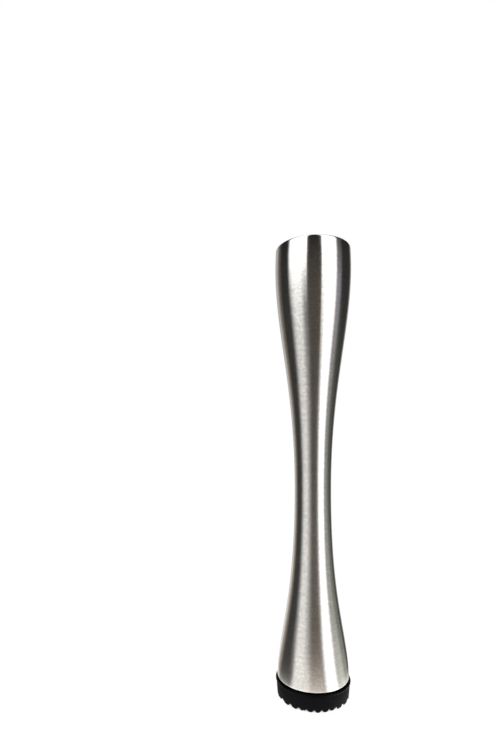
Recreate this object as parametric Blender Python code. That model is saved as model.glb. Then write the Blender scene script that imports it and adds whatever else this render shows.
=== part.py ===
"""Bar muddler: a hollow waisted steel handle that screws onto a toothed nylon head.

The muddler stands on its teeth. The origin is on its axis, at the tips of the teeth, and +Z
runs up to the flat end of the handle. Every piece is turned about that axis, apart from the
teeth, the ribs and the stud's hexagon. Turning the handle on the stud's right-hand thread
lifts it off the head, with the gasket on its rim.
"""

import math

import bmesh
import bpy
from mathutils import Matrix

MM = 0.001

# Whole tool
TOTAL_HEIGHT = 203 * MM
SEGMENTS = 40  # sides of the large round pieces
FIT_GAP = 0.3 * MM  # between pieces that touch, press or clip together

# Outside of the handle: a core that swells towards each end
RIM_Z = 8.3 * MM  # lower rim
TOP_Z = 202.8 * MM  # upper rim
CORE_RADIUS = 8.0 * MM
FOOT_SWELL = 8.1 * MM
FOOT_FROM_Z = 161 * MM
FOOT_POWER = 3
SHOULDER_SWELL = 9.1 * MM
SHOULDER_FROM_Z = 73 * MM
SHOULDER_FULL_Z = 194 * MM
SHOULDER_POWER = 1.53
SHELL_WALL = 0.9 * MM
OUTER_RINGS = 21
INNER_RINGS = 13

# Cap that closes the upper end
CAP_WALL = 0.9 * MM
CAP_DEPTH = 6 * MM
CAP_EDGE_RADIUS = 0.8 * MM

# Disc and bush inside the lower end
BULKHEAD_Z = 16 * MM
BULKHEAD_WALL = 1.5 * MM
BULKHEAD_SKIRT = 3 * MM
BUSH_RADIUS = 8 * MM
BUSH_FLANGE_RADIUS = 10.5 * MM
BUSH_Z = 12.6 * MM
BUSH_TOP_Z = 30 * MM
BUSH_ROOF = 2 * MM
BUSH_CHAMFER = 1 * MM

# M10 x 1.5 thread
PITCH = 1.5 * MM
THREAD_SEGMENTS = 16  # steps of the helix in each turn
STUD_CREST_RADIUS = 4.9 * MM
STUD_ROOT_RADIUS = 4.05 * MM
CREST_HALF_WIDTH = 0.11 * MM
FLANK_ANGLE = math.radians(30)
FLANK_REACH = 1.05 * MM  # radial length of the swept section, which runs past the root
THREAD_CLEARANCE = 0.25 * MM  # radial, between the stud's crest and the bush's groove
BORE_CLEARANCE = 0.3 * MM  # radial, between the stud's core and the bush's bore
THREAD_RELIEF = 0.25 * MM  # how far the plain ends of the bush stand back from its groove
THREAD_LOW_Z = 14.5 * MM  # lowest turn of the bush
ENGAGED_TURNS = 8

# Stud moulded into the head
STUD_TOP_Z = THREAD_LOW_Z + ENGAGED_TURNS * PITCH
STUD_THREAD_Z = 12.5 * MM  # middle of the first turn
STUD_CHAMFER = 0.8 * MM
HEX_Z = 6 * MM
HEX_HEIGHT = 3 * MM
HEX_CORNER_RADIUS = 6.9 * MM

# Head
HEAD_RADIUS = 16.55 * MM  # at the top of its wall
HEAD_FOOT_RADIUS = 16.1 * MM  # where the teeth begin
HEAD_SEAT_Z = 7.25 * MM
HEAD_EDGE = 0.35 * MM
TEETH_RADIUS = 15.3 * MM
TEETH_DEPTH = 2.2 * MM
TEETH_PITCH = 3.2 * MM
TOOTH_TIP = 0.7 * MM
SPIGOT_RADIUS = 13.4 * MM
SPIGOT_WALL = 1.6 * MM
SPIGOT_TOP_Z = 11.4 * MM
BOSS_RADIUS = 9 * MM
WELL_Z = 5 * MM  # floor of the ring-shaped well between boss and spigot
RIB_COUNT = 6
RIB_WIDTH = 1.2 * MM
RIB_TOP_Z = 10.4 * MM
RIB_OVERLAP = 0.8 * MM  # into the boss and into the spigot

# Gasket clipped on the handle's lower rim
GASKET_LOW_Z = 7.55 * MM
GASKET_WEB = 0.45 * MM
GASKET_SLEEVE_RADIUS = 13.75 * MM  # inside of the part that stands in the handle's mouth
GASKET_SLEEVE_TOP_Z = 11.2 * MM
GASKET_LIP = 0.45 * MM
GASKET_LIP_TOP_Z = 8.75 * MM
GASKET_EDGE = 0.12 * MM  # small edges of the lip and the web
GASKET_LEAD_IN = 0.5 * MM  # bevel on top of the sleeve

STEEL = ("brushed_steel", (0.60, 0.58, 0.56, 1), 0.28, 1.0)
PLAIN_STEEL = ("plain_steel", (0.52, 0.51, 0.50, 1), 0.42, 1.0)
NYLON = ("black_nylon", (0.012, 0.012, 0.014, 1), 0.55, 0.0)
SILICONE = ("black_silicone", (0.004, 0.004, 0.004, 1), 0.35, 0.0)


def clear_scene():
    for obj in list(bpy.data.objects):
        bpy.data.objects.remove(obj, do_unlink=True)


def material(name, colour, roughness, metallic):
    """The named Principled material, made the first time it is asked for."""
    found = bpy.data.materials.get(name)
    if found:
        return found
    made = bpy.data.materials.new(name)
    made.use_nodes = True
    shader = made.node_tree.nodes["Principled BSDF"]
    shader.inputs["Base Color"].default_value = colour
    shader.inputs["Roughness"].default_value = roughness
    shader.inputs["Metallic"].default_value = metallic
    made.diffuse_color = colour
    return made


def height_of(joint):
    """The height of a joint's empty in the world."""
    return joint.location.z + (height_of(joint.parent) if joint.parent else 0)


def add_joint(name, z, parent=None):
    """An empty on the axis at a height, which carries the pieces that move with it."""
    joint = bpy.data.objects.new(name, None)
    joint.empty_display_type = "ARROWS"
    joint.empty_display_size = TOTAL_HEIGHT / 10
    joint.parent = parent
    joint.location.z = z - (height_of(parent) if parent else 0)
    bpy.context.scene.collection.objects.link(joint)
    return joint


def add_object(name, shape, finish=None, joint=None):
    """A mesh object with its faces outwards, smooth up to 30 degrees, with its origin on its joint."""
    bmesh.ops.recalc_face_normals(shape, faces=shape.faces)
    if joint:
        bmesh.ops.translate(shape, vec=(0, 0, -height_of(joint)), verts=shape.verts)
    mesh = bpy.data.meshes.new(name)
    shape.to_mesh(mesh)
    shape.free()
    mesh.shade_smooth()
    mesh.set_sharp_from_angle(angle=math.radians(30))
    if finish:
        mesh.materials.append(material(*finish))
    obj = bpy.data.objects.new(name, mesh)
    obj.parent = joint
    bpy.context.scene.collection.objects.link(obj)
    return obj


def add_helper(name, shape):
    """A cutter or an addition for a Boolean, left out of the model itself."""
    obj = add_object(name, shape)
    obj.hide_render = True
    obj.display_type = "WIRE"
    return obj


def add_boolean(obj, operation, helper):
    modifier = obj.modifiers.new(f"{operation.lower()}_{helper.name}", "BOOLEAN")
    modifier.operation = operation
    modifier.solver = "EXACT"
    modifier.object = helper


def turn_about_axis(shape, angle):
    rotation = Matrix.Rotation(angle, 3, "Z")
    bmesh.ops.rotate(shape, cent=(0, 0, 0), matrix=rotation, verts=shape.verts)


def arc(centre, radius, start, end, steps=4):
    """(radius, height) points on an arc, with its angles in degrees from the outward direction."""
    angles = [math.radians(start + (end - start) * i / steps) for i in range(steps + 1)]
    return [(centre[0] + radius * math.cos(a), centre[1] + radius * math.sin(a)) for a in angles]


def turned(outline, closed, segments=SEGMENTS, offset=0.0):
    """A solid turned about Z from (radius, height) points. An open outline ends on the axis.

    The offset turns its flats, as a share of one, so that they don't line up with a helix's steps.
    """
    shape = bmesh.new()
    points = [shape.verts.new((r, 0, z)) for r, z in outline]
    pairs = list(zip(points, points[1:]))
    if closed:
        pairs.append((points[-1], points[0]))
    edges = [shape.edges.new(pair) for pair in pairs]
    bmesh.ops.spin(
        shape,
        geom=points + edges,
        cent=(0, 0, 0),
        axis=(0, 0, 1),
        angle=math.tau,
        steps=segments,
        use_merge=True,
    )
    bmesh.ops.remove_doubles(shape, verts=shape.verts, dist=0.0001 * MM)
    turn_about_axis(shape, math.tau * offset / segments)
    return shape


def thread_ridge(crest_radius, low_z, high_z):
    """A right-hand helical ridge, with its crest at the given radius. It rises with the angle."""
    half_root = CREST_HALF_WIDTH + FLANK_REACH * math.tan(FLANK_ANGLE)
    section = [
        (crest_radius - FLANK_REACH, -half_root),
        (crest_radius, -CREST_HALF_WIDTH),
        (crest_radius, CREST_HALF_WIDTH),
        (crest_radius - FLANK_REACH, half_root),
    ]
    turns = math.ceil((high_z - low_z) / PITCH)
    steps = turns * THREAD_SEGMENTS
    shape = bmesh.new()
    corners = [shape.verts.new((r, 0, low_z + z)) for r, z in section]
    face = shape.faces.new(corners)
    bmesh.ops.spin(
        shape,
        geom=[face, *face.edges, *face.verts],
        cent=(0, 0, 0),
        axis=(0, 0, 1),
        dvec=(0, 0, PITCH / THREAD_SEGMENTS),
        angle=math.tau * turns,
        steps=steps,
    )
    return shape


def rib_block(width, depth, low_z, high_z, x, turn):
    """A block centred at distance x from the axis, then turned about the axis."""
    shape = bmesh.new()
    bmesh.ops.create_cube(shape, size=1)
    bmesh.ops.scale(shape, vec=(width, depth, high_z - low_z), verts=shape.verts)
    bmesh.ops.translate(shape, vec=(x, 0, (low_z + high_z) / 2), verts=shape.verts)
    turn_about_axis(shape, turn)
    return shape


def hexagon(corner_radius, low_z, high_z):
    shape = bmesh.new()
    bmesh.ops.create_cone(
        shape,
        cap_ends=True,
        segments=6,
        radius1=corner_radius,
        radius2=corner_radius,
        depth=high_z - low_z,
    )
    bmesh.ops.translate(shape, vec=(0, 0, (low_z + high_z) / 2), verts=shape.verts)
    return shape


def swell(along, power):
    """A smooth rise from 0 to 1 and back, steeper at first as the power grows."""
    return math.sin(math.pi / 2 * max(along, 0) ** power) ** 2


def handle_radius(z):
    """The outer radius of the handle at a height."""
    foot = swell((FOOT_FROM_Z - z) / (FOOT_FROM_Z - RIM_Z), FOOT_POWER)
    shoulder = swell((z - SHOULDER_FROM_Z) / (SHOULDER_FULL_Z - SHOULDER_FROM_Z), SHOULDER_POWER)
    return CORE_RADIUS + FOOT_SWELL * foot + SHOULDER_SWELL * shoulder


def heights(low, high, rings):
    """Evenly spaced heights from low to high, ends included."""
    return [low + (high - low) * i / (rings - 1) for i in range(rings)]


def make_handle_shell(joint):
    """The drawn tube: full-round rims and an even wall between them."""
    half_wall = SHELL_WALL / 2
    low = RIM_Z + half_wall
    high = TOP_Z - half_wall
    outline = arc((handle_radius(low) - half_wall, low), half_wall, -180, 0)
    outline += [(handle_radius(z), z) for z in heights(low, high, OUTER_RINGS)[1:-1]]
    outline += arc((handle_radius(high) - half_wall, high), half_wall, 0, 180)
    inner = heights(high, low, INNER_RINGS)[1:-1]
    outline += [(handle_radius(z) - SHELL_WALL, z) for z in inner]
    return add_object("handle_shell", turned(outline, closed=True), STEEL, joint)


def make_end_cap(joint):
    """A pressed cup, flat on top, whose skirt stands inside the handle's upper rim."""
    radius = handle_radius(TOP_Z) - SHELL_WALL - FIT_GAP
    base = TOTAL_HEIGHT - CAP_DEPTH
    # The handle narrows a little below the rim's height, so the skirt leans with it.
    skirt = min(radius, handle_radius(base) - SHELL_WALL - FIT_GAP)
    edge = (radius - CAP_EDGE_RADIUS, TOTAL_HEIGHT - CAP_EDGE_RADIUS)
    outline = [(0, TOTAL_HEIGHT)]
    outline += arc(edge, CAP_EDGE_RADIUS, 90, 0)
    outline += [
        (skirt, base),
        (skirt - CAP_WALL, base),
        (radius - CAP_WALL, TOTAL_HEIGHT - CAP_WALL - CAP_EDGE_RADIUS),
        (radius - CAP_WALL - CAP_EDGE_RADIUS, TOTAL_HEIGHT - CAP_WALL),
        (0, TOTAL_HEIGHT - CAP_WALL),
    ]
    return add_object("end_cap", turned(outline, closed=False), STEEL, joint)


def make_bulkhead_disc(joint):
    """The disc across the lower mouth, with a turned-down edge and a hole for the bush."""
    top = BULKHEAD_Z + BULKHEAD_WALL
    skirt_z = BULKHEAD_Z - BULKHEAD_SKIRT
    outer = handle_radius(top) - SHELL_WALL - FIT_GAP
    hole = BUSH_RADIUS + FIT_GAP
    outline = [
        (hole, BULKHEAD_Z),
        (outer - 2 * BULKHEAD_WALL, BULKHEAD_Z),
        (outer - BULKHEAD_WALL, BULKHEAD_Z - BULKHEAD_WALL),
        (outer - BULKHEAD_WALL, skirt_z),
        (outer, skirt_z),
        (outer, top - BULKHEAD_WALL),
        (outer - BULKHEAD_WALL, top),
        (hole, top),
    ]
    return add_object("bulkhead_disc", turned(outline, closed=True), PLAIN_STEEL, joint)


def make_threaded_bush(joint):
    """A blind bush: its flange is under the bulkhead and its thread starts past a counterbore."""
    flange_top = BULKHEAD_Z - FIT_GAP
    bore = STUD_ROOT_RADIUS + BORE_CLEARANCE
    groove_radius = STUD_CREST_RADIUS + THREAD_CLEARANCE
    relief = groove_radius + THREAD_RELIEF
    thread_top = STUD_TOP_Z + PITCH / 3
    hole_top = BUSH_TOP_Z - BUSH_ROOF
    outline = [
        (0, hole_top),
        (relief, hole_top),
        (relief, thread_top),
        (bore, thread_top),
        (bore, THREAD_LOW_Z),
        (relief, THREAD_LOW_Z),
        (relief, BUSH_Z),
        (BUSH_FLANGE_RADIUS, BUSH_Z),
        (BUSH_FLANGE_RADIUS, flange_top),
        (BUSH_RADIUS, flange_top),
        (BUSH_RADIUS, BUSH_TOP_Z - BUSH_CHAMFER),
        (BUSH_RADIUS - BUSH_CHAMFER, BUSH_TOP_Z),
        (0, BUSH_TOP_Z),
    ]
    shape = turned(outline, closed=False, segments=THREAD_SEGMENTS, offset=0.5)
    bush = add_object("threaded_bush", shape, PLAIN_STEEL, joint)
    groove = thread_ridge(groove_radius, STUD_THREAD_Z, hole_top)
    add_boolean(bush, "DIFFERENCE", add_helper("bush_groove", groove))
    return bush


def make_head_stud():
    """The stud: a hexagon for the moulding to hold, a plain neck and the thread."""
    untrimmed_top = STUD_TOP_Z + PITCH
    core_low = HEX_Z + HEX_HEIGHT / 2
    core_outline = [
        (0, core_low),
        (STUD_ROOT_RADIUS, core_low),
        (STUD_ROOT_RADIUS, untrimmed_top),
        (0, untrimmed_top),
    ]
    core = turned(core_outline, closed=False, segments=THREAD_SEGMENTS, offset=0.5)
    stud = add_object("head_stud", core, PLAIN_STEEL)
    ridge = thread_ridge(STUD_CREST_RADIUS, STUD_THREAD_Z, untrimmed_top)
    add_boolean(stud, "UNION", add_helper("stud_ridge", ridge))
    # What lies outside this chamfered bar is cut off, which ends the core and the last turns.
    bar_radius = STUD_CREST_RADIUS + STUD_CHAMFER
    tip_radius = STUD_ROOT_RADIUS - STUD_CHAMFER
    bar_outline = [
        (0, HEX_Z),
        (bar_radius, HEX_Z),
        (bar_radius, STUD_TOP_Z - (bar_radius - tip_radius)),
        (tip_radius, STUD_TOP_Z),
        (0, STUD_TOP_Z),
    ]
    bar = turned(bar_outline, closed=False, segments=THREAD_SEGMENTS, offset=0.25)
    add_boolean(stud, "INTERSECT", add_helper("stud_end_trim", bar))
    hexagon_shape = hexagon(HEX_CORNER_RADIUS, HEX_Z, HEX_Z + HEX_HEIGHT)
    add_boolean(stud, "UNION", add_helper("stud_hexagon", hexagon_shape))
    return stud


def make_sealing_gasket(joint):
    """A channel that clips over the handle's lower rim: sleeve inside, thin lip outside."""
    lip_inner = handle_radius(RIM_Z) + FIT_GAP
    lip_outer = lip_inner + GASKET_LIP
    web_top = GASKET_LOW_Z + GASKET_WEB
    sleeve_outer = handle_radius(RIM_Z) - SHELL_WALL - FIT_GAP
    outline = [
        (GASKET_SLEEVE_RADIUS, GASKET_LOW_Z),
        (lip_outer - GASKET_EDGE, GASKET_LOW_Z),
        (lip_outer, GASKET_LOW_Z + GASKET_EDGE),
        (lip_outer, GASKET_LIP_TOP_Z - GASKET_LIP),
        (lip_inner + GASKET_EDGE, GASKET_LIP_TOP_Z),
        (lip_inner, GASKET_LIP_TOP_Z - GASKET_EDGE),
        (lip_inner, web_top + GASKET_EDGE),
        (lip_inner - GASKET_EDGE, web_top),
        (sleeve_outer, web_top),
        (sleeve_outer, GASKET_SLEEVE_TOP_Z - GASKET_LEAD_IN),
        (sleeve_outer - GASKET_LEAD_IN, GASKET_SLEEVE_TOP_Z),
        (GASKET_SLEEVE_RADIUS, GASKET_SLEEVE_TOP_Z),
    ]
    return add_object("sealing_gasket", turned(outline, closed=True), SILICONE, joint)


def tooth_grooves(turn):
    """A cutter of parallel V grooves, turned about the axis, which leaves a row of teeth on it."""
    half_width = (TEETH_PITCH - TOOTH_TIP) / 2
    below = TEETH_DEPTH / 8
    half_spread = half_width * (TEETH_DEPTH + below) / TEETH_DEPTH
    per_side = math.ceil(HEAD_RADIUS / TEETH_PITCH)
    reach = HEAD_RADIUS + TEETH_PITCH
    shape = bmesh.new()
    for i in range(-per_side, per_side):
        middle = (i + 0.5) * TEETH_PITCH
        section = [(middle - half_spread, -below), (middle, TEETH_DEPTH), (middle + half_spread, -below)]
        face = shape.faces.new([shape.verts.new((x, -reach, z)) for x, z in section])
        moved = bmesh.ops.extrude_face_region(shape, geom=[face])
        ends = [item for item in moved["geom"] if isinstance(item, bmesh.types.BMVert)]
        bmesh.ops.translate(shape, vec=(0, 2 * reach, 0), verts=ends)
    turn_about_axis(shape, turn)
    return shape


def make_toothed_head():
    """The nylon moulding: toothed face, tapered wall, seat, spigot, boss and ribs."""
    seat_edge = (HEAD_RADIUS - HEAD_EDGE, HEAD_SEAT_Z - HEAD_EDGE)
    outline = [
        (0, 0),
        (TEETH_RADIUS, 0),
        (HEAD_FOOT_RADIUS, TEETH_DEPTH / 2),
        *arc(seat_edge, HEAD_EDGE, 0, 90, steps=3),
        (SPIGOT_RADIUS, HEAD_SEAT_Z),
        (SPIGOT_RADIUS, SPIGOT_TOP_Z - HEAD_EDGE),
        (SPIGOT_RADIUS - HEAD_EDGE, SPIGOT_TOP_Z),
        (SPIGOT_RADIUS - SPIGOT_WALL, SPIGOT_TOP_Z),
        (SPIGOT_RADIUS - SPIGOT_WALL, WELL_Z),
        (BOSS_RADIUS, WELL_Z),
        (BOSS_RADIUS, SPIGOT_TOP_Z),
        (0, SPIGOT_TOP_Z),
    ]
    head = add_object("toothed_head", turned(outline, closed=False), NYLON)
    add_boolean(head, "DIFFERENCE", add_helper("grooves_along_y", tooth_grooves(0)))
    add_boolean(head, "DIFFERENCE", add_helper("grooves_along_x", tooth_grooves(math.pi / 2)))
    well_outer = SPIGOT_RADIUS - SPIGOT_WALL
    rib_length = well_outer - BOSS_RADIUS + 2 * RIB_OVERLAP
    for i in range(RIB_COUNT):
        turn = math.tau * (i + 0.5) / RIB_COUNT
        middle = (BOSS_RADIUS + well_outer) / 2
        rib = rib_block(rib_length, RIB_WIDTH, WELL_Z - RIB_OVERLAP, RIB_TOP_Z, middle, turn)
        add_boolean(head, "UNION", add_helper(f"head_rib_{i + 1}", rib))
    pocket = hexagon(HEX_CORNER_RADIUS + FIT_GAP, HEX_Z - FIT_GAP, HEX_Z + HEX_HEIGHT + FIT_GAP)
    add_boolean(head, "DIFFERENCE", add_helper("hexagon_pocket", pocket))
    neck_radius = STUD_ROOT_RADIUS + FIT_GAP
    neck_top = SPIGOT_TOP_Z + HEAD_EDGE
    neck_outline = [(0, HEX_Z), (neck_radius, HEX_Z), (neck_radius, neck_top), (0, neck_top)]
    neck = turned(neck_outline, closed=False, segments=THREAD_SEGMENTS)
    add_boolean(head, "DIFFERENCE", add_helper("neck_hole", neck))
    return head


def main():
    clear_scene()
    make_toothed_head()
    make_head_stud()
    lift = add_joint("lift_joint", HEAD_SEAT_Z)
    make_sealing_gasket(lift)
    turn = add_joint("turn_joint", RIM_Z, lift)
    make_handle_shell(turn)
    make_end_cap(turn)
    make_bulkhead_disc(turn)
    make_threaded_bush(turn)


main()
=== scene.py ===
import math

import bmesh
import bpy
from mathutils import Matrix, Vector


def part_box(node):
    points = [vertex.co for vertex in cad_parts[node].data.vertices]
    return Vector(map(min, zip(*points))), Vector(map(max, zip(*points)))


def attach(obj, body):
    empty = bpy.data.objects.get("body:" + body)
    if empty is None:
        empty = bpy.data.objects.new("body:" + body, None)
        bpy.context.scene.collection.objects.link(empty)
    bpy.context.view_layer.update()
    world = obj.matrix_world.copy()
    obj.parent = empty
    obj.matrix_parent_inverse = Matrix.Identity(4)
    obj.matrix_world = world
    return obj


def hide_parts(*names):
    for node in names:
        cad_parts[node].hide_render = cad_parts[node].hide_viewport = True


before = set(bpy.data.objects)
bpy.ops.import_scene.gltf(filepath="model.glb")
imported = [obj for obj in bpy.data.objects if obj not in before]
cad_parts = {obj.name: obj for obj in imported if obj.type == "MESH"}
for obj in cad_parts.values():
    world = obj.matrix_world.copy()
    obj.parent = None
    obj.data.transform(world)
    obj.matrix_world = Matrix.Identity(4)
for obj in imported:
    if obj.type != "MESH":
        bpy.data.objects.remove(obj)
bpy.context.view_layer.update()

MM = 0.001

# Places and sizes read from the frame
SHELL_LOW, SHELL_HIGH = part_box("handle_shell")
CAP_LOW, CAP_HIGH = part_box("end_cap")
DISC_LOW, DISC_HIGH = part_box("bulkhead_disc")
BUSH_LOW, BUSH_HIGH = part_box("threaded_bush")
_, GASKET_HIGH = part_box("sealing_gasket")
STUD_LOW, STUD_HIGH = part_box("head_stud")
_, HEAD_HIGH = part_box("toothed_head")
RIM_Z = SHELL_LOW.z
TOP_Z = SHELL_HIGH.z
TOTAL_HEIGHT = CAP_HIGH.z
HEAD_RADIUS = HEAD_HIGH.x

# Outside of the handle, as in the CAD: a core that swells towards each end
CORE_RADIUS = 8.0 * MM
FOOT_SWELL = 8.1 * MM
FOOT_FROM_Z = 161 * MM
FOOT_POWER = 3
SHOULDER_SWELL = 9.1 * MM
SHOULDER_FROM_Z = 73 * MM
SHOULDER_FULL_Z = 194 * MM
SHOULDER_POWER = 1.53
SHELL_WALL = 0.9 * MM

# Camera
EYE = Vector((-29.4, -214.2, 113.5)) * MM
LENS = 22.5  # focal length and sensor in millimetres
SENSOR = 36
HORIZON_BELOW_MIDDLE = 0.0947  # as a share of the frame's long side

ROUND = 160  # sides of the large round pieces
THREAD_SIDES = 64  # of the stud, its neck and the tap
BUSH_SIDES = 96
FINE_GAP = 0.02 * MM  # between pieces that touch

# Handle's rims
RIM_ROUND_HEIGHT = 1.4 * MM  # the lower rim is rolled in over this height
RIM_TOP_HEIGHT = 0.8 * MM  # the upper rim is rounded over this height

# Upper cap
CAP_EDGE = 0.7 * MM
CAP_WALL = 0.9 * MM

# Bulkhead and bush
DISC_WALL = 1.5 * MM
WELD = 0.6 * MM
BUSH_RADIUS = 8 * MM
BUSH_CHAMFER = 1 * MM
BUSH_END_WALL = 2 * MM

# Thread, as in the CAD
PITCH = 1.5 * MM
HALF_CREST = 0.07  # half of the crest's flat, and each flank, as shares of the pitch
FLANK = 0.32
STUD_CREST = 4.9 * MM
STUD_ROOT = 4.05 * MM
STUD_THREAD_Z = 12.5 * MM  # middle of the first turn's crest, at +X
THREAD_CLEARANCE = 0.25 * MM  # outwards, from the stud's crest to the bush's groove
BORE_CLEARANCE = 0.3 * MM  # outwards, from the stud's root to the bush's bore
THREAD_LOW_Z = 14.5 * MM  # lowest turn of the bush
STUD_TIP_CHAMFER = 1.2 * MM
HEX_CORNER_RADIUS = 6.9 * MM
HEX_HEIGHT = 3 * MM
HEX_EDGE = 0.2 * MM

# Head
HEAD_SEAT_Z = 7.25 * MM
HEAD_FOOT_RADIUS = 16.1 * MM  # half way up the teeth
HEAD_EDGE = 0.35 * MM
TEETH_RADIUS = 15.3 * MM
TEETH_DEPTH = 2.2 * MM
TEETH_PITCH = 3.2 * MM
TOOTH_TIP = 0.7 * MM
TIP_ROUND = 0.22 * MM
VALLEY_ROUND = 0.15 * MM
SPIGOT_RADIUS = 13.4 * MM
SPIGOT_WALL = 1.6 * MM
BOSS_RADIUS = 9 * MM
WELL_Z = 5 * MM
WELL_FILLET = 0.7 * MM
RIB_COUNT = 6
RIB_WIDTH = 1.2 * MM
RIB_TOP_Z = 10.4 * MM
RIB_OVERLAP = 0.8 * MM
RIB_EDGE = 0.25 * MM

# Gasket
SLEEVE_RADIUS = 13.75 * MM
SLEEVE_LEAD = 0.5 * MM
LIP_TOP_Z = 8.45 * MM  # 0.3 mm below the CAD's, for a thinner line under the steel

# Finishes: linear colours, roughness, and the widths of the turned lines
STEEL_DARK = (0.56, 0.548, 0.53, 1)
STEEL_BRIGHT = (0.76, 0.743, 0.718, 1)
STREAK = (0.46, 0.445, 0.425, 1)
PIT = (0.40, 0.39, 0.37, 1)
SCRATCH = (0.74, 0.73, 0.71, 1)
INNER_DARK = (0.40, 0.39, 0.38, 1)
INNER_BRIGHT = (0.60, 0.59, 0.58, 1)
NYLON_DARK = (0.0033, 0.0033, 0.0042, 1)
NYLON_PALE = (0.0062, 0.0062, 0.0080, 1)
NYLON_WORN = (0.02, 0.02, 0.021, 1)
SILICONE = (0.0006, 0.0006, 0.0006, 1)
DUST = (0.0025, 0.0025, 0.0025, 1)
FINE_LINE = 0.16 * MM
BROAD_LINE = 0.9 * MM
INNER_LINE = 0.22 * MM
SATIN = 0.25
SHOULDER_POLISH = 0.165
ROUGHEST = 0.27
SATIN_TO_Z = 120 * MM
POLISH_FROM_Z = 185 * MM
RIM_POLISH = 0.35  # share of the roughness that the lower rim keeps
WEAR_HEIGHT = 0.45 * MM


def arc(centre, radius, start, end, steps=6, height=None):
    """(radius, height) points on an arc, with its angles in degrees from the outward direction.

    With a height, the arc is an ellipse's, that many metres in its upright half axis.
    """
    angles = [math.radians(start + (end - start) * i / steps) for i in range(steps + 1)]
    tall = height or radius
    return [(centre[0] + radius * math.cos(a), centre[1] + tall * math.sin(a)) for a in angles]


def heights(low, high, rings):
    """Evenly spaced heights from low to high, ends included."""
    return [low + (high - low) * i / (rings - 1) for i in range(rings)]


def swell(along, power):
    """A smooth rise from 0 to 1, where along is 1, and back. It starts later as the power grows."""
    return math.sin(math.pi / 2 * max(along, 0) ** power) ** 2


def handle_radius(z):
    """The outer radius of the handle at a height."""
    foot = swell((FOOT_FROM_Z - z) / (FOOT_FROM_Z - RIM_Z), FOOT_POWER)
    shoulder = swell((z - SHOULDER_FROM_Z) / (SHOULDER_FULL_Z - SHOULDER_FROM_Z), SHOULDER_POWER)
    return CORE_RADIUS + FOOT_SWELL * foot + SHOULDER_SWELL * shoulder


def turned(outline, closed=True, segments=ROUND):
    """A shape turned about Z from (radius, height) points. An open outline ends on the axis."""
    shape = bmesh.new()
    turns = [math.tau * i / segments for i in range(segments)]
    rings = []
    for radius, z in outline:
        if radius > 0:
            ring = [shape.verts.new((radius * math.cos(a), radius * math.sin(a), z)) for a in turns]
        else:
            ring = [shape.verts.new((0, 0, z))] * segments
        rings.append(ring)
    following = rings[1:] + rings[:1] if closed else rings[1:]
    for ring, after in zip(rings, following):
        for i in range(segments):
            corners = dict.fromkeys((ring[i - 1], ring[i], after[i], after[i - 1]))
            shape.faces.new(list(corners))
    return shape


def add_piece(name, shape, sharp_angle=35):
    """A mesh object with its faces outwards, smooth up to an angle in degrees."""
    bmesh.ops.recalc_face_normals(shape, faces=shape.faces)
    mesh = bpy.data.meshes.new(name)
    shape.to_mesh(mesh)
    shape.free()
    piece = bpy.data.objects.new(name, mesh)
    bpy.context.scene.collection.objects.link(piece)
    shade(piece, sharp_angle)
    return piece


def shade(piece, sharp_angle=35):
    """Smooth shading, except over edges sharper than an angle in degrees."""
    piece.data.shade_smooth()
    piece.data.set_sharp_from_angle(angle=math.radians(sharp_angle))


def apply_modifiers(piece):
    bpy.context.view_layer.update()
    evaluated = piece.evaluated_get(bpy.context.evaluated_depsgraph_get())
    mesh = bpy.data.meshes.new_from_object(evaluated)
    piece.modifiers.clear()
    piece.data = mesh


def carve(piece, operation, tools):
    """Adds, cuts or intersects the piece with each tool, and removes the tools."""
    for tool in tools:
        modifier = piece.modifiers.new(tool.name, "BOOLEAN")
        modifier.operation = operation
        modifier.solver = "EXACT"
        modifier.object = tool
    apply_modifiers(piece)
    for tool in tools:
        bpy.data.objects.remove(tool, do_unlink=True)


def bevelled(piece, width, segments=2):
    modifier = piece.modifiers.new("edges", "BEVEL")
    modifier.width = width
    modifier.segments = segments
    modifier.limit_method = "ANGLE"
    apply_modifiers(piece)
    return piece


def settle(piece, body, node, finish):
    """The piece takes its material, rides on its body and stands for its CAD node."""
    piece.data.materials.clear()
    piece.data.materials.append(finish)
    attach(piece, body)
    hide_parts(node)


# ---------------------------------------------------------------- materials


def new_material(name):
    made = bpy.data.materials.new(name)
    made.use_nodes = True
    return made, made.node_tree, made.node_tree.nodes["Principled BSDF"]


def add_node(tree, kind, inputs=None, **settings):
    """A node with its settings. An input takes a value, or a link where a socket is given."""
    made = tree.nodes.new(kind)
    for key, value in settings.items():
        setattr(made, key, value)
    for key, value in (inputs or {}).items():
        if isinstance(value, bpy.types.NodeSocket):
            tree.links.new(value, made.inputs[key])
        else:
            made.inputs[key].default_value = value
    return made


def map_range(tree, value, before, after, smooth=False):
    """The value, with one range stretched onto another and held at its ends."""
    inputs = {"Value": value}
    inputs["From Min"], inputs["From Max"] = before
    inputs["To Min"], inputs["To Max"] = after
    kind = "SMOOTHSTEP" if smooth else "LINEAR"
    return add_node(tree, "ShaderNodeMapRange", inputs, interpolation_type=kind).outputs["Result"]


def maths(tree, operation, first, second=0.0, third=0.0):
    inputs = {0: first, 1: second, 2: third}
    return add_node(tree, "ShaderNodeMath", inputs, operation=operation).outputs["Value"]


def vector_maths(tree, operation, first, second=(0, 0, 0)):
    inputs = {0: first, "Scale" if operation == "SCALE" else 1: second}
    made = add_node(tree, "ShaderNodeVectorMath", inputs, operation=operation)
    return made.outputs["Value" if operation == "LENGTH" else "Vector"]


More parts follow.
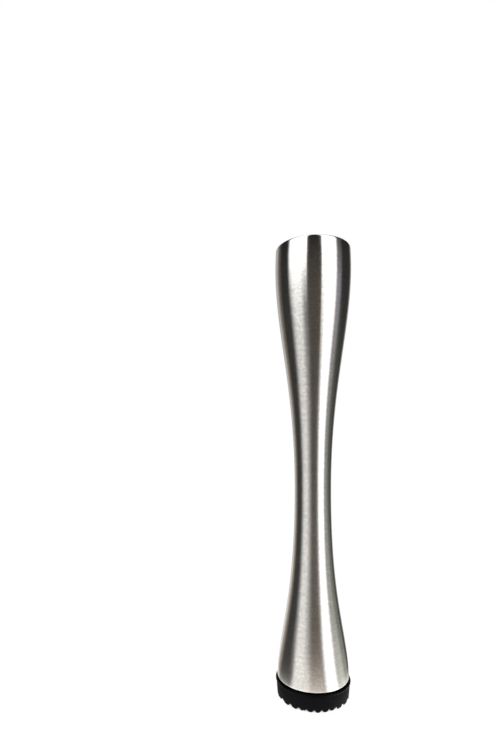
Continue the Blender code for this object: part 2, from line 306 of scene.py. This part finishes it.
def mix_colour(tree, factor, first, second):
    mixer = add_node(tree, "ShaderNodeMix", data_type="RGBA")
    for name, value in (("Factor_Float", factor), ("A_Color", first), ("B_Color", second)):
        socket = next(s for s in mixer.inputs if s.identifier == name)
        if isinstance(value, bpy.types.NodeSocket):
            tree.links.new(value, socket)
        else:
            socket.default_value = value
    return next(s for s in mixer.outputs if s.identifier == "Result_Color")


def object_position(tree):
    return add_node(tree, "ShaderNodeTexCoord").outputs["Object"]


def height_of(tree, position):
    return add_node(tree, "ShaderNodeSeparateXYZ", {"Vector": position}).outputs["Z"]


def from_axis(tree, position):
    """Sockets for the distance from the axis and the direction away from it."""
    flat = vector_maths(tree, "MULTIPLY", position, (1, 1, 0))
    return vector_maths(tree, "LENGTH", flat), vector_maths(tree, "NORMALIZE", flat)


def noise(tree, place, scale, detail, roughness=0.5, output="Fac"):
    """Cloudy noise, mostly between 0.3 and 0.7, with its scale in clouds for each unit of place."""
    inputs = {"Vector": place, "Scale": scale, "Detail": detail, "Roughness": roughness}
    return add_node(tree, "ShaderNodeTexNoise", inputs).outputs[output]


def turned_grain(tree, position, line_width, arcs, detail=2.0):
    """Noise drawn out round the axis: lines of the given width, and a little wider on flat ends.

    More arcs make the lines shorter.
    """
    on_ends = 0.7
    radius, outward = from_axis(tree, position)
    along = maths(tree, "MULTIPLY_ADD", radius, on_ends, height_of(tree, position))
    lines = maths(tree, "MULTIPLY", along, 1 / line_width)
    lift = add_node(tree, "ShaderNodeCombineXYZ", {"Z": lines}).outputs["Vector"]
    around = vector_maths(tree, "SCALE", outward, arcs)
    place = vector_maths(tree, "ADD", around, lift)
    return noise(tree, place, scale=1.0, detail=detail, roughness=0.6)


def hairlines(tree, position):
    """A few thin scratches in scattered directions, as a mask that is 0 off them.

    They run along the edges of bent cells, where a patchy noise lets them show.
    """
    bend = 9 * MM
    width = 0.006  # as a share of a cell
    warp = noise(tree, position, scale=28.0, detail=1.0, output="Color")
    moved = vector_maths(tree, "ADD", position, vector_maths(tree, "SCALE", warp, bend))
    inputs = {"Vector": moved, "Scale": 75.0}
    cells = add_node(tree, "ShaderNodeTexVoronoi", inputs, feature="DISTANCE_TO_EDGE")
    line = map_range(tree, cells.outputs["Distance"], (0.0, width), (1.0, 0.0))
    patch = noise(tree, position, scale=130.0, detail=1.0)
    return maths(tree, "MULTIPLY", line, map_range(tree, patch, (0.56, 0.62), (0.0, 0.6)))


def bump(tree, height, distance, strength):
    inputs = {"Height": height, "Distance": distance, "Strength": strength}
    return add_node(tree, "ShaderNodeBump", inputs).outputs["Normal"]


def brushed_steel():
    """Stainless with a fine ring grain, nearly a mirror at the shoulder and satin lower down.

    The rolled lower rim is polished, and light handling has left smudges and a few hairlines.
    """
    made, tree, shader = new_material("brushed_handle_steel")
    position = object_position(tree)
    height = height_of(tree, position)
    fine = turned_grain(tree, position, FINE_LINE, arcs=2.5, detail=3.0)
    broad = turned_grain(tree, position, BROAD_LINE, arcs=2.0, detail=4.0)
    smudge = noise(tree, position, scale=70.0, detail=3.0)
    mottle = noise(tree, position, scale=900.0, detail=2.0)
    wave = noise(tree, position, scale=130.0, detail=1.0)
    scratch = hairlines(tree, position)

    tone = mix_colour(tree, fine, STEEL_DARK, STEEL_BRIGHT)
    tone = mix_colour(tree, map_range(tree, broad, (0.35, 0.65), (0.0, 0.34)), tone, STREAK)
    tone = mix_colour(tree, map_range(tree, mottle, (0.38, 0.62), (0.32, 0.0)), tone, PIT)
    tone = mix_colour(tree, scratch, tone, SCRATCH)
    tree.links.new(tone, shader.inputs["Base Color"])

    finish = map_range(tree, height, (SATIN_TO_Z, POLISH_FROM_Z), (SATIN, SHOULDER_POLISH), smooth=True)
    finish = maths(tree, "ADD", finish, map_range(tree, fine, (0.3, 0.7), (-0.01, 0.008)))
    finish = maths(tree, "ADD", finish, map_range(tree, broad, (0.3, 0.7), (-0.01, 0.008)))
    finish = maths(tree, "ADD", finish, map_range(tree, smudge, (0.4, 0.7), (0.0, 0.02)))
    finish = maths(tree, "MINIMUM", finish, ROUGHEST)
    rim_top = RIM_Z + RIM_ROUND_HEIGHT
    above_rim = map_range(tree, height, (rim_top - 0.4 * MM, rim_top + 0.2 * MM), (RIM_POLISH, 1.0))
    finish = maths(tree, "MULTIPLY", finish, above_rim)
    tree.links.new(finish, shader.inputs["Roughness"])

    shader.inputs["Metallic"].default_value = 1.0
    shader.inputs["Anisotropic"].default_value = 0.8
    shader.inputs["Anisotropic Rotation"].default_value = 0.25
    around = add_node(tree, "ShaderNodeTangent", direction_type="RADIAL", axis="Z")
    tree.links.new(around.outputs["Tangent"], shader.inputs["Tangent"])
    relief = maths(tree, "MULTIPLY", fine, 0.15)
    relief = maths(tree, "ADD", relief, maths(tree, "MULTIPLY", scratch, -0.18))
    relief = maths(tree, "ADD", relief, maths(tree, "MULTIPLY", wave, 3.0))
    normal = bump(tree, relief, distance=0.01 * MM, strength=1.0)
    tree.links.new(normal, shader.inputs["Normal"])
    return made


def plain_steel():
    """Plain stainless of the inner pieces, with fine turned rings."""
    made, tree, shader = new_material("turned_inner_steel")
    rings = turned_grain(tree, object_position(tree), INNER_LINE, arcs=1.0)
    tree.links.new(mix_colour(tree, rings, INNER_DARK, INNER_BRIGHT), shader.inputs["Base Color"])
    tree.links.new(map_range(tree, rings, (0.3, 0.7), (0.24, 0.38)), shader.inputs["Roughness"])
    shader.inputs["Metallic"].default_value = 1.0
    normal = bump(tree, rings, distance=0.02 * MM, strength=0.4)
    tree.links.new(normal, shader.inputs["Normal"])
    return made


def black_nylon():
    """Moulded nylon with a spark-eroded skin, paler where the teeth's tips have worn."""
    made, tree, shader = new_material("moulded_black_nylon")
    position = object_position(tree)
    skin = noise(tree, position, scale=3200.0, detail=2.0, roughness=0.6)
    cloud = noise(tree, position, scale=190.0, detail=3.0)
    wear = map_range(tree, height_of(tree, position), (0.0, WEAR_HEIGHT), (1.0, 0.0), smooth=True)
    tone = mix_colour(tree, cloud, NYLON_DARK, NYLON_PALE)
    tone = mix_colour(tree, maths(tree, "MULTIPLY", wear, cloud), tone, NYLON_WORN)
    tree.links.new(tone, shader.inputs["Base Color"])
    tree.links.new(map_range(tree, skin, (0.3, 0.7), (0.55, 0.75)), shader.inputs["Roughness"])
    shader.inputs["Specular IOR Level"].default_value = 0.04
    normal = bump(tree, skin, distance=0.05 * MM, strength=0.35)
    tree.links.new(normal, shader.inputs["Normal"])
    return made


def black_silicone():
    """Smooth silicone, deeper black than the nylon, with a little dust."""
    made, tree, shader = new_material("black_silicone_rubber")
    dust = noise(tree, object_position(tree), scale=900.0, detail=4.0)
    speck = map_range(tree, dust, (0.55, 0.75), (0.0, 1.0))
    tree.links.new(mix_colour(tree, speck, SILICONE, DUST), shader.inputs["Base Color"])
    tree.links.new(map_range(tree, dust, (0.3, 0.7), (0.4, 0.55)), shader.inputs["Roughness"])
    shader.inputs["Specular IOR Level"].default_value = 0.05
    normal = bump(tree, dust, distance=0.02 * MM, strength=0.2)
    tree.links.new(normal, shader.inputs["Normal"])
    return made


# ---------------------------------------------------------------- pieces


def make_handle(finish):
    """The drawn tube, with its lower rim rolled in and its upper rim full round."""
    outer_rings, inner_rings = 170, 70
    half_wall = SHELL_WALL / 2
    low = RIM_Z + RIM_ROUND_HEIGHT
    high = TOP_Z - RIM_TOP_HEIGHT
    inner_low = RIM_Z + half_wall
    middle = handle_radius(low) - half_wall
    outline = arc((middle, inner_low), half_wall, -180, -90, height=half_wall)
    outline += arc((middle, low), half_wall, -90, 0, steps=10, height=RIM_ROUND_HEIGHT)[1:]
    outline += [(handle_radius(z), z) for z in heights(low, high, outer_rings)[1:-1]]
    upper_middle = (handle_radius(high) - half_wall, high)
    outline += arc(upper_middle, half_wall, 0, 180, steps=12, height=RIM_TOP_HEIGHT)
    inner_heights = heights(high, inner_low, inner_rings)[1:-1]
    outline += [(handle_radius(z) - SHELL_WALL, z) for z in inner_heights]
    handle = add_piece("steel_handle", turned(outline))
    settle(handle, "handle", "handle_shell", finish)


def make_cap(finish):
    """The pressed cap: flat, with a rounded edge that meets the handle's rim in a fine groove."""
    radius = handle_radius(TOP_Z) - SHELL_WALL - FINE_GAP
    skirt = min(radius, handle_radius(CAP_LOW.z) - SHELL_WALL - FINE_GAP)
    inside = CAP_EDGE * 0.4  # radius of the inner edge
    edge = (radius - CAP_EDGE, TOTAL_HEIGHT - CAP_EDGE)
    inner_edge = (radius - CAP_WALL - inside, TOTAL_HEIGHT - CAP_WALL - inside)
    outline = [(0, TOTAL_HEIGHT)]
    outline += [(radius * share, TOTAL_HEIGHT) for share in (0.3, 0.6, 0.85)]
    outline += arc(edge, CAP_EDGE, 90, 0, steps=8)
    outline += [(skirt, CAP_LOW.z), (skirt - CAP_WALL, CAP_LOW.z)]
    outline += arc(inner_edge, inside, 0, 90, steps=3)
    outline += [(0, TOTAL_HEIGHT - CAP_WALL)]
    cap = add_piece("pressed_cap", turned(outline, closed=False))
    settle(cap, "handle", "end_cap", finish)


def make_bulkhead(finish):
    """The dished disc, with weld fillets to the handle outside and to the bush inside."""
    low, high = DISC_LOW.z, DISC_HIGH.z
    outer = handle_radius(high) - SHELL_WALL - FINE_GAP
    hole = BUSH_RADIUS + FINE_GAP
    underside = high - DISC_WALL
    bend = (outer - 2 * DISC_WALL, underside - DISC_WALL)
    weld_low = low - WELD / 3
    outline = [(hole, underside)]
    outline += arc(bend, DISC_WALL, 90, 0, steps=8)
    outline += [
        (outer - DISC_WALL, low),
        (outer - DISC_WALL / 3, weld_low),
        (handle_radius(low) - SHELL_WALL - FINE_GAP, weld_low),
        (outer, underside),
    ]
    outline += arc((outer - DISC_WALL, underside), DISC_WALL, 0, 90, steps=8)
    outline += [(hole + WELD, high), (hole + WELD / 3, high + WELD / 3), (hole, high + WELD)]
    disc = add_piece("dished_bulkhead", turned(outline))
    settle(disc, "handle", "bulkhead_disc", finish)


def thread_radius(phase, root, crest):
    """The radius at a share of the pitch above a crest's middle: flat crest, flanks, flat root."""
    off_crest = abs((phase + 0.5) % 1 - 0.5)
    share = min(max((off_crest - HALF_CREST) / FLANK, 0), 1)
    return crest + (root - crest) * share


def threaded_rod(root, crest, low, high, tip_chamfer, run_in, segments=THREAD_SIDES, rows=12):
    """A closed rod whose right-hand thread rises with the angle, in phase with the CAD's.

    Its rows of vertices follow the helix, so a row that has gone round once joins the row one
    pitch above. Rows past an end are pressed flat onto it. The thread fades in over the run-in
    above the low end, and the high end is chamfered.
    """
    merge = 0.002 * MM
    shape = bmesh.new()
    first = math.floor((low - STUD_THREAD_Z) / PITCH) - 1
    last = math.ceil((high - STUD_THREAD_Z) / PITCH) + 1
    columns = []
    for i in range(segments):
        angle = math.tau * i / segments
        column = []
        for row in range((last - first) * rows + 1):
            phase = row / rows
            z = STUD_THREAD_Z + (first + phase + i / segments) * PITCH
            kept = min(max(z, low), high)
            fade = min(max((kept - low) / run_in, 0), 1) if run_in else 1
            radius = root + (thread_radius(phase, root, crest) - root) * fade
            radius = min(radius, crest - (tip_chamfer - min(high - kept, tip_chamfer)))
            place = (radius * math.cos(angle), radius * math.sin(angle), kept)
            column.append(shape.verts.new(place))
        columns.append(column)
    for i in range(segments):
        column = columns[i]
        after = columns[(i + 1) % segments]
        shift = rows if i == segments - 1 else 0
        for row in range(len(column) - 1 - rows):
            below = row + shift
            shape.faces.new((column[below], after[row], after[row + 1], column[below + 1]))
    bmesh.ops.remove_doubles(shape, verts=shape.verts, dist=merge)
    bmesh.ops.dissolve_degenerate(shape, edges=shape.edges, dist=merge)
    loose = [v for v in shape.verts if not v.link_faces]
    bmesh.ops.delete(shape, geom=loose, context="VERTS")
    rims = [edge for edge in shape.edges if edge.is_boundary]
    bmesh.ops.holes_fill(shape, edges=rims, sides=0)
    return shape


def hexagon(corner_radius, low, high):
    outline = [(0, low), (corner_radius, low), (corner_radius, high), (0, high)]
    return turned(outline, closed=False, segments=6)


def make_stud(finish):
    """The stud: rolled thread, a plain neck in the nylon and the hexagon under it."""
    thread_low = STUD_THREAD_Z - PITCH / 2
    rod = threaded_rod(STUD_ROOT, STUD_CREST, thread_low, STUD_HIGH.z, STUD_TIP_CHAMFER, PITCH)
    stud = add_piece("threaded_stud", rod)
    hex_top = STUD_LOW.z + HEX_HEIGHT
    neck_low = hex_top - PITCH / 2
    neck_high = thread_low + PITCH / 4
    outline = [(0, neck_low), (STUD_ROOT, neck_low), (STUD_ROOT, neck_high), (0, neck_high)]
    neck = add_piece("stud_neck", turned(outline, closed=False, segments=THREAD_SIDES))
    grip = add_piece("stud_hexagon", hexagon(HEX_CORNER_RADIUS, STUD_LOW.z, hex_top))
    carve(stud, "UNION", [neck, bevelled(grip, HEX_EDGE)])
    shade(stud)
    settle(stud, "head", "head_stud", finish)


def make_bush(finish):
    """The blind bush, with a chamfered flange and the female thread."""
    flange = BUSH_HIGH.x
    flange_top = DISC_HIGH.z - DISC_WALL - FINE_GAP
    edge = 0.3 * MM
    groove = STUD_CREST + THREAD_CLEARANCE
    relief = groove + THREAD_CLEARANCE
    hole_top = BUSH_HIGH.z - BUSH_END_WALL
    thread_top = STUD_HIGH.z + PITCH / 3
    outline = [
        (0, hole_top),
        (relief - edge, hole_top),
        (relief, hole_top - edge),
        (relief, thread_top),
        (groove - PITCH / 2, thread_top - PITCH / 4),
        (groove - PITCH / 2, THREAD_LOW_Z + PITCH / 4),
        (relief, THREAD_LOW_Z),
        (relief, BUSH_LOW.z + edge),
        (relief + edge, BUSH_LOW.z),
        (flange - edge, BUSH_LOW.z),
        (flange, BUSH_LOW.z + edge),
        (flange, flange_top - edge),
        (flange - edge, flange_top),
        (BUSH_RADIUS, flange_top),
        (BUSH_RADIUS, BUSH_HIGH.z - BUSH_CHAMFER),
        (BUSH_RADIUS - BUSH_CHAMFER, BUSH_HIGH.z),
        (0, BUSH_HIGH.z),
    ]
    bush = add_piece("blind_bush", turned(outline, closed=False, segments=BUSH_SIDES))
    bore = STUD_ROOT + BORE_CLEARANCE
    tap = threaded_rod(bore, groove, THREAD_LOW_Z - PITCH, hole_top - edge, 0, 0)
    carve(bush, "DIFFERENCE", [add_piece("bush_tap", tap)])
    shade(bush)
    settle(bush, "handle", "threaded_bush", finish)


def make_gasket(finish):
    """The silicone channel: sleeve in the handle's mouth, web under its rim and a beaded lip."""
    low = HEAD_SEAT_Z + FINE_GAP
    web_top = RIM_Z - FINE_GAP
    lip_outer = GASKET_HIGH.x
    lip_inner = handle_radius(RIM_Z) + FINE_GAP
    lip_middle = (lip_inner + lip_outer) / 2
    half_lip = (lip_outer - lip_inner) / 2
    sleeve_outer = handle_radius(RIM_Z) - SHELL_WALL - FINE_GAP
    lead_low = GASKET_HIGH.z - SLEEVE_LEAD
    outline = [(SLEEVE_RADIUS, low)]
    outline += arc((lip_outer - half_lip, low + half_lip), half_lip, -90, 0, steps=5)
    outline += arc((lip_middle, LIP_TOP_Z - half_lip), half_lip, 0, 180, steps=10)
    outline += [(lip_inner, web_top), (sleeve_outer, web_top), (sleeve_outer, lead_low)]
    outline += arc((sleeve_outer - SLEEVE_LEAD, lead_low), SLEEVE_LEAD, 0, 90, steps=5)[1:]
    outline += [(SLEEVE_RADIUS, GASKET_HIGH.z)]
    gasket = add_piece("silicone_gasket", turned(outline))
    settle(gasket, "seal", "sealing_gasket", finish)


def groove_section(middle):
    """(across, height) points round one groove's cutter, with the teeth's edges rounded off."""
    half_width = (TEETH_PITCH - TOOTH_TIP) / 2
    slope = math.degrees(math.atan2(TEETH_DEPTH, half_width))
    setback = TIP_ROUND * math.tan(math.radians(slope / 2))
    valley_drop = VALLEY_ROUND / math.cos(math.radians(slope))
    right = arc((half_width + setback, TIP_ROUND), TIP_ROUND, 270, 270 - slope, steps=4)
    top = arc((0, TEETH_DEPTH - valley_drop), VALLEY_ROUND, 90 - slope, 90 + slope, steps=6)
    left = [(-x, z) for x, z in reversed(right)]
    below = -TEETH_DEPTH / 8
    foot = [(-half_width - setback, below), (half_width + setback, below)]
    return [(middle + x, z) for x, z in [*right, *top, *left, *foot]]


def tooth_grooves(name, along_x):
    """A cutter of parallel grooves, which leaves a row of teeth on the axis."""
    per_side = math.ceil(HEAD_RADIUS / TEETH_PITCH)
    reach = HEAD_RADIUS + TEETH_PITCH
    shape = bmesh.new()
    for i in range(-per_side, per_side):
        section = groove_section((i + 0.5) * TEETH_PITCH)
        ends = []
        for along in (-reach, reach):
            places = [(along, x, z) if along_x else (x, along, z) for x, z in section]
            ends.append([shape.verts.new(place) for place in places])
        near, far = ends
        shape.faces.new(near)
        shape.faces.new(far)
        for j in range(len(section)):
            shape.faces.new((near[j - 1], near[j], far[j], far[j - 1]))
    return add_piece(name, shape)


def rib_block(name, turn):
    """A rib across the well, with its edges eased."""
    well_outer = SPIGOT_RADIUS - SPIGOT_WALL
    length = well_outer - BOSS_RADIUS + 2 * RIB_OVERLAP
    low = WELL_Z - RIB_OVERLAP
    shape = bmesh.new()
    bmesh.ops.create_cube(shape, size=1)
    bmesh.ops.scale(shape, vec=(length, RIB_WIDTH, RIB_TOP_Z - low), verts=shape.verts)
    middle = Vector(((BOSS_RADIUS + well_outer) / 2, 0, (low + RIB_TOP_Z) / 2))
    bmesh.ops.translate(shape, vec=middle, verts=shape.verts)
    rotation = Matrix.Rotation(turn, 3, "Z")
    bmesh.ops.rotate(shape, cent=(0, 0, 0), matrix=rotation, verts=shape.verts)
    return bevelled(add_piece(name, shape), RIB_EDGE)


def make_head(finish):
    """The nylon moulding: toothed face, tapered wall, seat, spigot, and a boss tied in by ribs."""
    top = HEAD_HIGH.z
    edge = 0.3 * MM
    spigot_inner = SPIGOT_RADIUS - SPIGOT_WALL
    foot = (HEAD_FOOT_RADIUS, TEETH_DEPTH / 2)
    neck = STUD_ROOT + FINE_GAP
    outline = [(0, 0), (TEETH_RADIUS - edge, 0), (TEETH_RADIUS, edge / 2), foot]
    outline += arc((HEAD_RADIUS - HEAD_EDGE, HEAD_SEAT_Z - HEAD_EDGE), HEAD_EDGE, 0, 90)
    outline += arc((SPIGOT_RADIUS + edge, HEAD_SEAT_Z + edge), edge, 270, 180, steps=4)
    outline += arc((SPIGOT_RADIUS - HEAD_EDGE, top - HEAD_EDGE), HEAD_EDGE, 0, 90, steps=4)
    outline += arc((spigot_inner + edge, top - edge), edge, 90, 180, steps=4)
    outline += arc((spigot_inner - WELL_FILLET, WELL_Z + WELL_FILLET), WELL_FILLET, 0, -90)
    outline += arc((BOSS_RADIUS + WELL_FILLET, WELL_Z + WELL_FILLET), WELL_FILLET, 270, 180)
    outline += arc((BOSS_RADIUS - edge, top - edge), edge, 0, 90, steps=4)
    hex_top = STUD_LOW.z + HEX_HEIGHT
    outline += [(neck + edge, top), (neck, top - edge), (neck, hex_top), (0, hex_top)]
    head = add_piece("nylon_head", turned(outline, closed=False))
    ribs = [rib_block(f"rib_{i}", math.tau * (i + 0.5) / RIB_COUNT) for i in range(RIB_COUNT)]
    carve(head, "UNION", ribs)
    carve(head, "DIFFERENCE", [tooth_grooves("grooves_along_y", along_x=False)])
    carve(head, "DIFFERENCE", [tooth_grooves("grooves_along_x", along_x=True)])
    shade(head, sharp_angle=25)
    settle(head, "head", "toothed_head", finish)


# ---------------------------------------------------------------- studio

FLOOR_RADIUS = 60  # metres
FLOOR_WHITE = 0.97
PAINTED_SHADE = 0.05  # painted shadow: the floor's glow under the middle of the teeth


def add_camera():
    data = bpy.data.cameras.new("camera")
    data.lens = LENS
    data.sensor_width = SENSOR
    data.shift_y = HORIZON_BELOW_MIDDLE
    data.clip_start = 0.01
    data.clip_end = 500
    camera = bpy.data.objects.new("camera", data)
    camera.location = EYE
    camera.rotation_euler = (math.pi / 2, 0, 0)
    bpy.context.scene.collection.objects.link(camera)
    bpy.context.scene.camera = camera


def add_floor():
    """A wide glowing floor, evenly white up to the horizon, with a shadow painted dark right under the
    teeth.

    It is one-sided, so that the teeth can be looked at from below.
    """
    shape = bmesh.new()
    bmesh.ops.create_circle(shape, cap_ends=True, segments=96, radius=FLOOR_RADIUS)
    floor = add_piece("floor", shape)
    made, tree, shader = new_material("white_floor")
    radius, _ = from_axis(tree, object_position(tree))
    # Painted shadow: the glow is dark inside the teeth and rises to white just inside their edge.
    shadow = TEETH_RADIUS - 2.5 * MM
    clear_of_teeth = TEETH_RADIUS - 0.3 * MM
    glow_with_painted_shade = map_range(tree, radius, (shadow, clear_of_teeth), (PAINTED_SHADE, FLOOR_WHITE), smooth=True)
    tree.links.new(glow_with_painted_shade, shader.inputs["Emission Strength"])
    shader.inputs["Emission Color"].default_value = (1, 1, 1, 1)
    shader.inputs["Base Color"].default_value = (0.05, 0.05, 0.05, 1)
    shader.inputs["Roughness"].default_value = 0.9
    shader.inputs["Specular IOR Level"].default_value = 0.0
    underside = add_node(tree, "ShaderNodeNewGeometry").outputs["Backfacing"]
    clear = add_node(tree, "ShaderNodeBsdfTransparent").outputs["BSDF"]
    sides = {0: underside, 1: shader.outputs["BSDF"], 2: clear}
    one_sided = add_node(tree, "ShaderNodeMixShader", sides)
    tree.links.new(one_sided.outputs["Shader"], tree.nodes["Material Output"].inputs["Surface"])
    floor.data.materials.append(made)
    floor.visible_glossy = False


def add_world():
    """Even white light from all round."""
    world = bpy.data.worlds.new("studio_air")
    world.use_nodes = True
    air = world.node_tree.nodes["Background"]
    air.inputs["Color"].default_value = (1, 1, 1, 1)
    air.inputs["Strength"].default_value = 1.0
    bpy.context.scene.world = world


# What the steel reflects is painted with light on the inside of a bowl round the muddler. A
# place in the bowl is its run, the metres from the middle of its floor out to the wall and then
# up the wall, and its azimuth, in degrees to the right of the camera as seen from the muddler.
BOWL_RADIUS = 0.5
BOWL_HEIGHT = 0.9
RUNS = (0.027, 0.038, 0.15, 0.54, 0.70, 0.80, 0.90, 1.05)
WHITE = (1, 1, 1)
WARM_WHITE = (1, 0.985, 0.965)
BROWN = (1, 0.85, 0.70)
DEEP_BROWN = (1.04, 0.80, 0.58)
SAND = (1, 0.90, 0.81)
OLIVE = (0.98, 1.0, 0.90)
VIOLET = (0.92, 0.88, 1.06)
# Tint, and brightness at each of RUNS, of the bowl between its lights
AMBIENT = ((1, 0.992, 0.94), (1.2, 0.098, 0.07, 0.06, 0.058, 0.046, 0.042, 0.004))
# From azimuth, to azimuth, fade at each of them, tint, and brightness at each of RUNS
LIGHTS = {
    "left_upper_softbox": (-75, -17.7, 12, 3, WHITE, (0, 0, 0, 0, 0, 0.8, 2.6, 2.4)),
    "left_upper_glare": (-66, -31, 24, 16, WHITE, (0, 0, 0, 0.2, 1.0, 0.75, 0, 0)),
    "left_lower_softbox": (-65, -21, 24, 29, WARM_WHITE, (0, 0, 0.5, 0.6, 0.2, 0.1, 0, 0)),
    "left_floor_glare": (-57, -14, 12, 29, WARM_WHITE, (0.6, 1.15, 1.1, 0.05, 0, 0, 0, 0)),
    "camera_floor": (-19, 28, 13, 13, SAND, (0.2, 0.72, 0, 0, 0, 0, 0, 0)),
    "camera_side": (-19, 28, 13, 13, DEEP_BROWN, (0, 0.06, 0.175, 0.035, 0.06, 0.05, 0.02, 0)),
    "right_upper_softbox": (26, 73.7, 3, 8, WHITE, (0, 0, 0, 0, 1.2, 1.8, 2.4, 2.4)),
    "right_lower_softbox": (35, 71, 16, 16, WHITE, (1.6, 2.0, 2.2, 2.2, 1.2, 0, 0, 0)),
    "right_side_card": (75, 101, 13, 15, OLIVE, (0.7, 0.84, 0.80, 0.31, 0.08, 0, 0, 0)),
    "right_floor_glare": (100, 126, 14, 18, OLIVE, (0.6, 0.36, 0.32, 0.12, 0, 0, 0, 0)),
    "right_upper_card": (74, 92, 6, 12, VIOLET, (0, 0, 0, 0, 0.32, 0.36, 0.18, 0)),
    "rear_fill": (150, 229, 24, 24, WHITE, (0.8, 0.8, 0.7, 0.5, 0.5, 0.5, 0.5, 0.5)),
    "left_rear_card": (-150, -112, 20, 14, BROWN, (0.38, 0.38, 0.33, 0.24, 0.18, 0.12, 0.10, 0)),
}


def along_run(levels, run):
    """The brightness at a run, going evenly from each of RUNS to the next."""
    for i in range(1, len(RUNS)):
        if run <= RUNS[i]:
            share = max(run - RUNS[i - 1], 0) / (RUNS[i] - RUNS[i - 1])
            return levels[i - 1] + (levels[i] - levels[i - 1]) * share
    return levels[-1]


def edge_fade(inside, fade):
    """0 to 1 across an edge, from a distance inside it and the width of its fade."""
    share = min(max(inside / fade + 0.5, 0), 1)
    return share * share * (3 - 2 * share)


def glow(azimuth, run):
    """The colour of the light in the bowl."""
    tint, levels = AMBIENT
    total = Vector(tint) * along_run(levels, run)
    for start, end, start_fade, end_fade, tint, levels in LIGHTS.values():
        past_start = (azimuth - start + 180) % 360 - 180
        share = edge_fade(past_start, start_fade) * edge_fade(end - start - past_start, end_fade)
        total += Vector(tint) * share * along_run(levels, run)
    return total


def add_light_bowl():
    """The bowl, seen only in reflections. Its floor's rings are closer towards the middle."""
    facing = math.atan2(EYE.y, EYE.x)
    floor_rings, wall_rings, sides = 30, 60, 360
    crowding = 2.5
    floor_z = -0.5 * MM
    roof_z = BOWL_HEIGHT * 1.1
    shares = [(i / floor_rings) ** crowding for i in range(1, floor_rings)]
    profile = [(BOWL_RADIUS * share, floor_z) for share in shares]
    profile += [(BOWL_RADIUS, z) for z in heights(0, BOWL_HEIGHT, wall_rings)]
    profile += [(BOWL_RADIUS / 2, roof_z), (0, roof_z)]
    bowl = add_piece("light_bowl", turned(profile, closed=False, segments=sides))
    layer = bowl.data.attributes.new("glow", "FLOAT_COLOR", "POINT")
    for vertex, colour in zip(bowl.data.vertices, layer.data):
        place = vertex.co
        azimuth = math.degrees(math.atan2(place.y, place.x) - facing)
        run = max(place.z, 0) + min(place.xy.length, BOWL_RADIUS)
        if place.z > BOWL_HEIGHT:
            run = BOWL_RADIUS + BOWL_HEIGHT
        colour.color = (*glow(azimuth, run), 1)
    made, tree, shader = new_material("painted_light")
    tree.nodes.remove(shader)
    painted = add_node(tree, "ShaderNodeAttribute", attribute_name="glow").outputs["Color"]
    light = add_node(tree, "ShaderNodeEmission", {"Color": painted, "Strength": 1.0})
    tree.links.new(light.outputs["Emission"], tree.nodes["Material Output"].inputs["Surface"])
    bowl.data.materials.append(made)
    bowl.visible_camera = False
    bowl.visible_diffuse = False
    bowl.visible_shadow = False
    bowl.visible_transmission = False


def main():
    add_camera()
    add_world()
    add_floor()
    add_light_bowl()
    steel = brushed_steel()
    inner = plain_steel()
    nylon = black_nylon()
    silicone = black_silicone()
    make_handle(steel)
    make_cap(steel)
    make_bulkhead(inner)
    make_bush(inner)
    make_stud(inner)
    make_gasket(silicone)
    make_head(nylon)
    bpy.context.scene.view_settings.view_transform = "Standard"


main()
